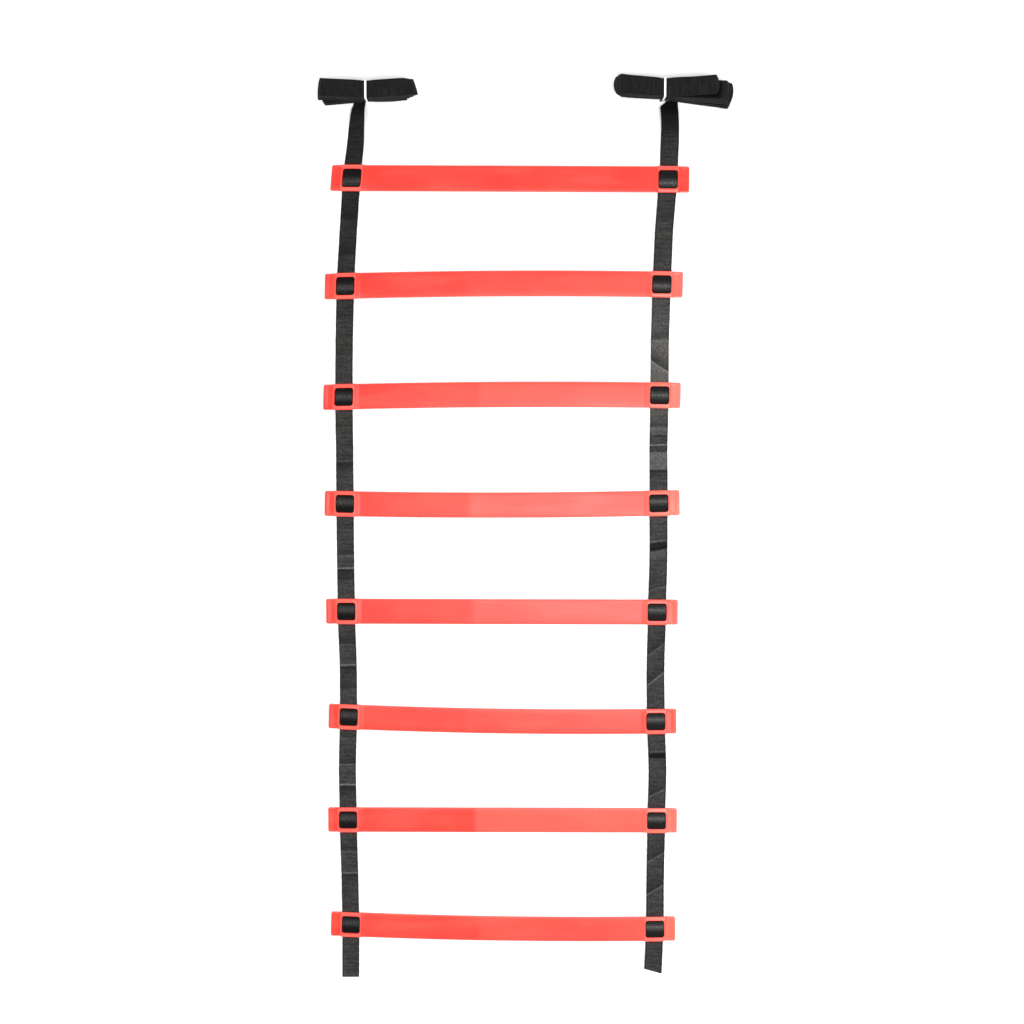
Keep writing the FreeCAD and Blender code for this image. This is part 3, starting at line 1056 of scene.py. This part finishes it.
def lay_stations(side, lay, start_x, end_x, left_end, right_end):
    """One lay of a hank, from start_x to end_x."""
    hank = HANKS[side]
    stations = []
    for _, x in even_places(start_x, end_x, HANK_STEP, 6):
        y = lay_y(side, x, left_end, right_end)
        half = STRAP_HALF[side] * (1 - bump_at(x, TIE_AT[side][0], *DRAWN_IN))
        across = lay_across(side, x, left_end, right_end) * half
        near_right = smooth((x - right_end[0] + END_REACH) / END_REACH)
        near_left = smooth((left_end[0] + END_REACH - x) / END_REACH)
        across *= 1 - hank["narrow"] * near_right
        tuck = near_left * hank["tuck"]["left"] - near_right * hank["tuck"]["right"]
        skew = near_left * hank_skew(side, "left", lay) + near_right * hank_skew(side, "right", lay)
        place = (x, y, hank_level(side, lay, x))
        # painted shade on the lay, with a painted highlight where it turns back
        tone = hank_tone(side, lay, x) - TURN_HIGHLIGHT * max(0.0, near_left - 0.9, near_right - 0.9) / 0.1
        stations.append(Station(place, across, HANK_THICK, tone, tuck, skew))
    return stations


def turn_stations(side, lay, x, onward, left_end, right_end):
    """The half turn from one lay up to the next."""
    hank = HANKS[side]
    low, high = hank_level(side, lay, x), hank_level(side, lay + 1, x)
    radius = (high - low) / 2
    end_side = "right" if onward > 0 else "left"
    share = 1 - hank["narrow"] if onward > 0 else 1
    across = lay_across(side, x, left_end, right_end) * STRAP_HALF[side] * share
    tuck = -onward * hank["tuck"][end_side]
    skew = hank_skew(side, end_side, lay)
    y = lay_y(side, x, left_end, right_end)
    # painted shade on the turn, less a painted highlight
    tone = hank_tone(side, lay, x) - TURN_HIGHLIGHT
    stations = []
    for step in range(1, 6):
        angle = math.pi * step / 6
        middle = (x + onward * radius * math.sin(angle), y, low + radius * (1 - math.cos(angle)))
        stations.append(Station(middle, across, HANK_THICK, tone, tuck, skew))
    return stations


def hank_piece(side, material):
    """The strap from the first window into its hank."""
    last = HANKS[side]["lays"] - 1
    chance = random.Random({"left": 11, "right": 23}[side])
    left_turns, right_turns = hank_ends(side, chance)
    stations = lead_stations(side)
    first_x = LEAD_FOLD[side][0] + STRAP_HALF[side] + FOLD_OUT
    stations += fold_stations(side, hank_level(side, 0, first_x))
    place = first_x + HANK_STEP
    for lay in range(last + 1):
        onward = 1 if lay % 2 == 0 else -1
        right_end = right_turns[lay // 2]
        left_end = left_turns[max(0, (lay - 1) // 2)]
        end = right_end if onward > 0 else left_end
        stations += lay_stations(side, lay, place, end[0], left_end, right_end)
        if lay < last:
            stations += turn_stations(side, lay, end[0], onward, left_end, right_end)
        place = end[0]
    # the lays' edges painted paler, as a painted highlight
    mesh, length = strap_mesh(stations, edge_painted_light=0.5)
    piece = piece_of(mesh, f"{side}_strap_hank", material, 50)
    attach(piece, "span_1")
    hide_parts(f"{side}_strap_1", f"{side}_hank")
    return piece, length


def tie_piece(side, material):
    """The loop round the middle of a hank."""
    x, y = TIE_AT[side]
    wide, thick = TIE_SIZE
    top = hank_level(side, HANKS[side]["lays"] - 1, x) + HANK_THICK / 2 + TIE_GAP
    half_y = STRAP_HALF[side] * (1 - DRAWN_IN[0]) + TIE_GAP
    path = rounded_rectangle(half_y, top / 2 - 0.05, TIE_CORNER, 8)
    section = rounded_rectangle(wide / 2, thick / 2, 0.25, 3)
    bm = bmesh.new()
    rings = []
    for i, (py, pz) in enumerate(path):
        before, after = Vector(path[i - 1]), Vector(path[(i + 1) % len(path)])
        along = (after - before).normalized()
        out = Vector((along.y, -along.x))
        centre = Vector((x, y + py, top / 2 + pz))
        rings.append([centre + Vector((sx, out.x * sz, out.y * sz)) for sx, sz in section])
    loft(bm, rings, looped=True)
    piece = piece_of(mesh_from(bm), f"{side}_tie_loop", material)
    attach(piece, "span_1")
    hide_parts(f"{side}_tie")


# ---- stage

def area_light(name, place, aim, size, power):
    """A soft box at a place, aimed at a point."""
    data = bpy.data.lights.new(name, "AREA")
    data.shape = "RECTANGLE"
    data.size, data.size_y = size
    data.energy = power
    lamp = bpy.data.objects.new(name, data)
    lamp.location = place
    lamp.rotation_euler = (Vector(aim) - Vector(place)).to_track_quat("-Z", "Y").to_euler()
    link(lamp)


def stage_and_lights():
    """The floor, the soft boxes and an even sky."""
    bm = bmesh.new()
    bmesh.ops.create_circle(bm, cap_ends=True, segments=96, radius=30.0)
    floor_mesh = bpy.data.meshes.new("floor")
    bm.to_mesh(floor_mesh)
    bm.free()
    floor_mesh.materials.append(floor_paint())
    floor = bpy.data.objects.new("floor", floor_mesh)
    floor.location.z = -0.0002
    link(floor)
    world = bpy.data.worlds.new("sky")
    world.use_nodes = True
    sky = world.node_tree.nodes["Background"].inputs
    sky["Color"].default_value = (1, 1, 1, 1)
    sky["Strength"].default_value = 0.55
    bpy.context.scene.world = world
    area_light("right_box", (0.69, -0.3, 1.9), (0.1, -0.1, 0), (0.6, 1.8), 35)
    area_light("left_box", (-1.9, 0.2, 1.6), (0, 0, 0), (1.6, 1.6), 17)
    area_light("far_box", (0.0, 2.3, 1.8), (0, 0.1, 0), (2.4, 1.2), 27)
    area_light("near_box", (0.0, -2.2, 1.7), (0, -0.1, 0), (2.2, 1.2), 14)


def camera():
    """The photographer's place: nearly overhead, leaning a little to the hanks."""
    data = bpy.data.cameras.new("camera")
    data.lens = 50
    data.sensor_width = 36
    seen = bpy.data.objects.new("camera", data)
    seen.location = (-0.0158, 0.1629, 1.698)
    seen.rotation_euler = (math.radians(-4.42), 0, 0)
    link(seen)
    bpy.context.scene.camera = seen


def build():
    """Every piece of the ladder."""
    plastic, cloth, white = coral_plastic(), webbing(), tie_plastic()
    ends = {side: end_piece(side) for side in SIDES}
    for number in RUNGS:
        rung(number, ends, plastic)
    for side in SIDES:
        bights = {number: bight(side, number, cloth) for number in RUNGS}
        piece, length = hank_piece(side, cloth)
        for number in RUNGS[:-1]:
            piece, length = span_piece(side, number, cloth)
        piece, length = tail_piece(side, cloth)
        tie_piece(side, white)


camera()
stage_and_lights()
build()
bpy.context.scene.view_settings.view_transform = "Standard"
